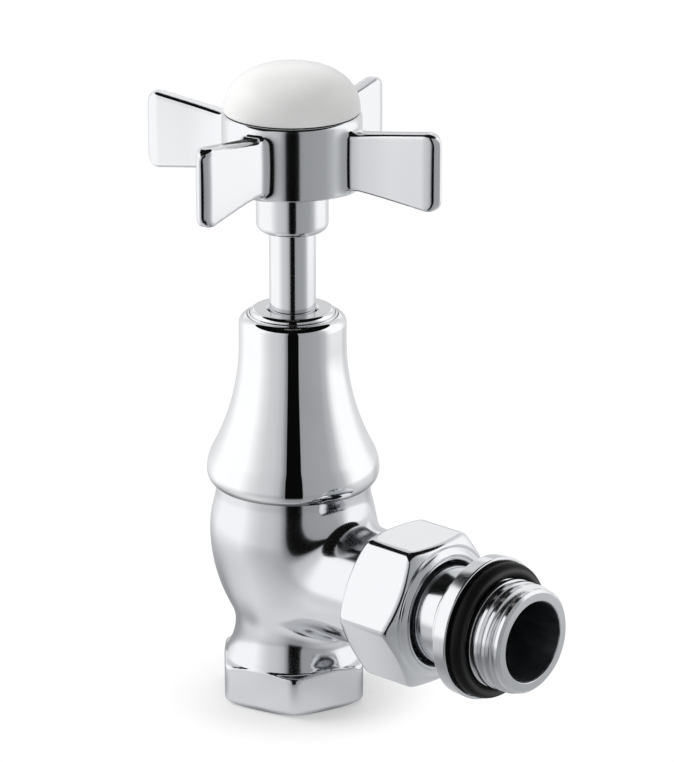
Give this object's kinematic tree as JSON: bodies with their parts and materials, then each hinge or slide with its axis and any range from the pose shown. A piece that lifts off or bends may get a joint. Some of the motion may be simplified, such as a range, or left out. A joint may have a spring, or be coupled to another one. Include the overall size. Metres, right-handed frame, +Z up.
{
  "type": "angle valve",
  "caption": "Angle valve with cross handle, ceramic dome, bell cover over the headwork, female hexagonal inlet below and a swivel union tailpiece to the side.",
  "frame": {"origin": "centre of the inlet hexagon's underside, where the valve stands", "axes": "+Z up along the spindle, +X along the outlet, -Z out of the inlet"},
  "size_m": [0.0927, 0.0636, 0.127],
  "materials": {
    "chrome_cast": "polished chrome over a brass casting, faintly uneven",
    "chrome": "mirror chrome on turned brass",
    "chrome_handle": "mirror chrome on a cast handle",
    "chrome_thread": "chrome on the neck and flange, duller on the thread",
    "brass": "turned brass",
    "steel": "zinc plated steel",
    "rubber": "moulded black rubber",
    "fibre": "pressed fibre",
    "packing": "white packing",
    "ceramic": "glazed white ceramic"
  },
  "bodies": {
    "body": {"valve_body": "chrome_cast", "bonnet_seal": "fibre", "bonnet": "brass", "bell_cover": "chrome", "cover_ring_nut": "chrome", "packing_washer": "brass", "stem_packing": "packing", "gland_nut": "chrome"},
    "disc": {"valve_disc": "brass", "disc_seal": "rubber", "disc_screw": "brass"},
    "handle": {"spindle": "chrome", "handle": "chrome_handle", "handle_screw": "steel", "screw_washer": "steel", "cap_ring": "rubber", "cap_insert": "brass", "ceramic_cap": "ceramic"},
    "seal": {"union_seal": "fibre"},
    "nut": {"union_nut": "chrome"},
    "tail": {"tailpiece": "chrome_thread", "tail_seal": "rubber"}
  },
  "joints": [
    {"name": "disc_lift", "type": "slide", "parent": "body", "child": "disc", "axis": [0, 0, 1], "range_m": [0, 0.006]},
    {"name": "handle_turn", "type": "hinge", "parent": "disc", "child": "handle", "pos_m": [0, 0, 0.05], "axis": [0, 0, 1], "range_deg": [0, 1080]},
    {"name": "union_slide", "type": "slide", "parent": "body", "child": "seal", "axis": [1, 0, 0], "range_m": [0, 0.0045]},
    {"name": "nut_turn", "type": "hinge", "parent": "seal", "child": "nut", "pos_m": [0.03, 0, 0.0267], "axis": [1, 0, 0], "range_deg": [0, 1080]},
    {"name": "tail_swivel", "type": "hinge", "parent": "seal", "child": "tail", "pos_m": [0.03, 0, 0.0267], "axis": [1, 0, 0], "continuous": true}
  ],
  "couplings": [
    {"joint": "handle_turn", "follows": "disc_lift", "rad_per_m": 3141.6},
    {"joint": "nut_turn", "follows": "union_slide", "rad_per_m": 4188.8}
  ]
}
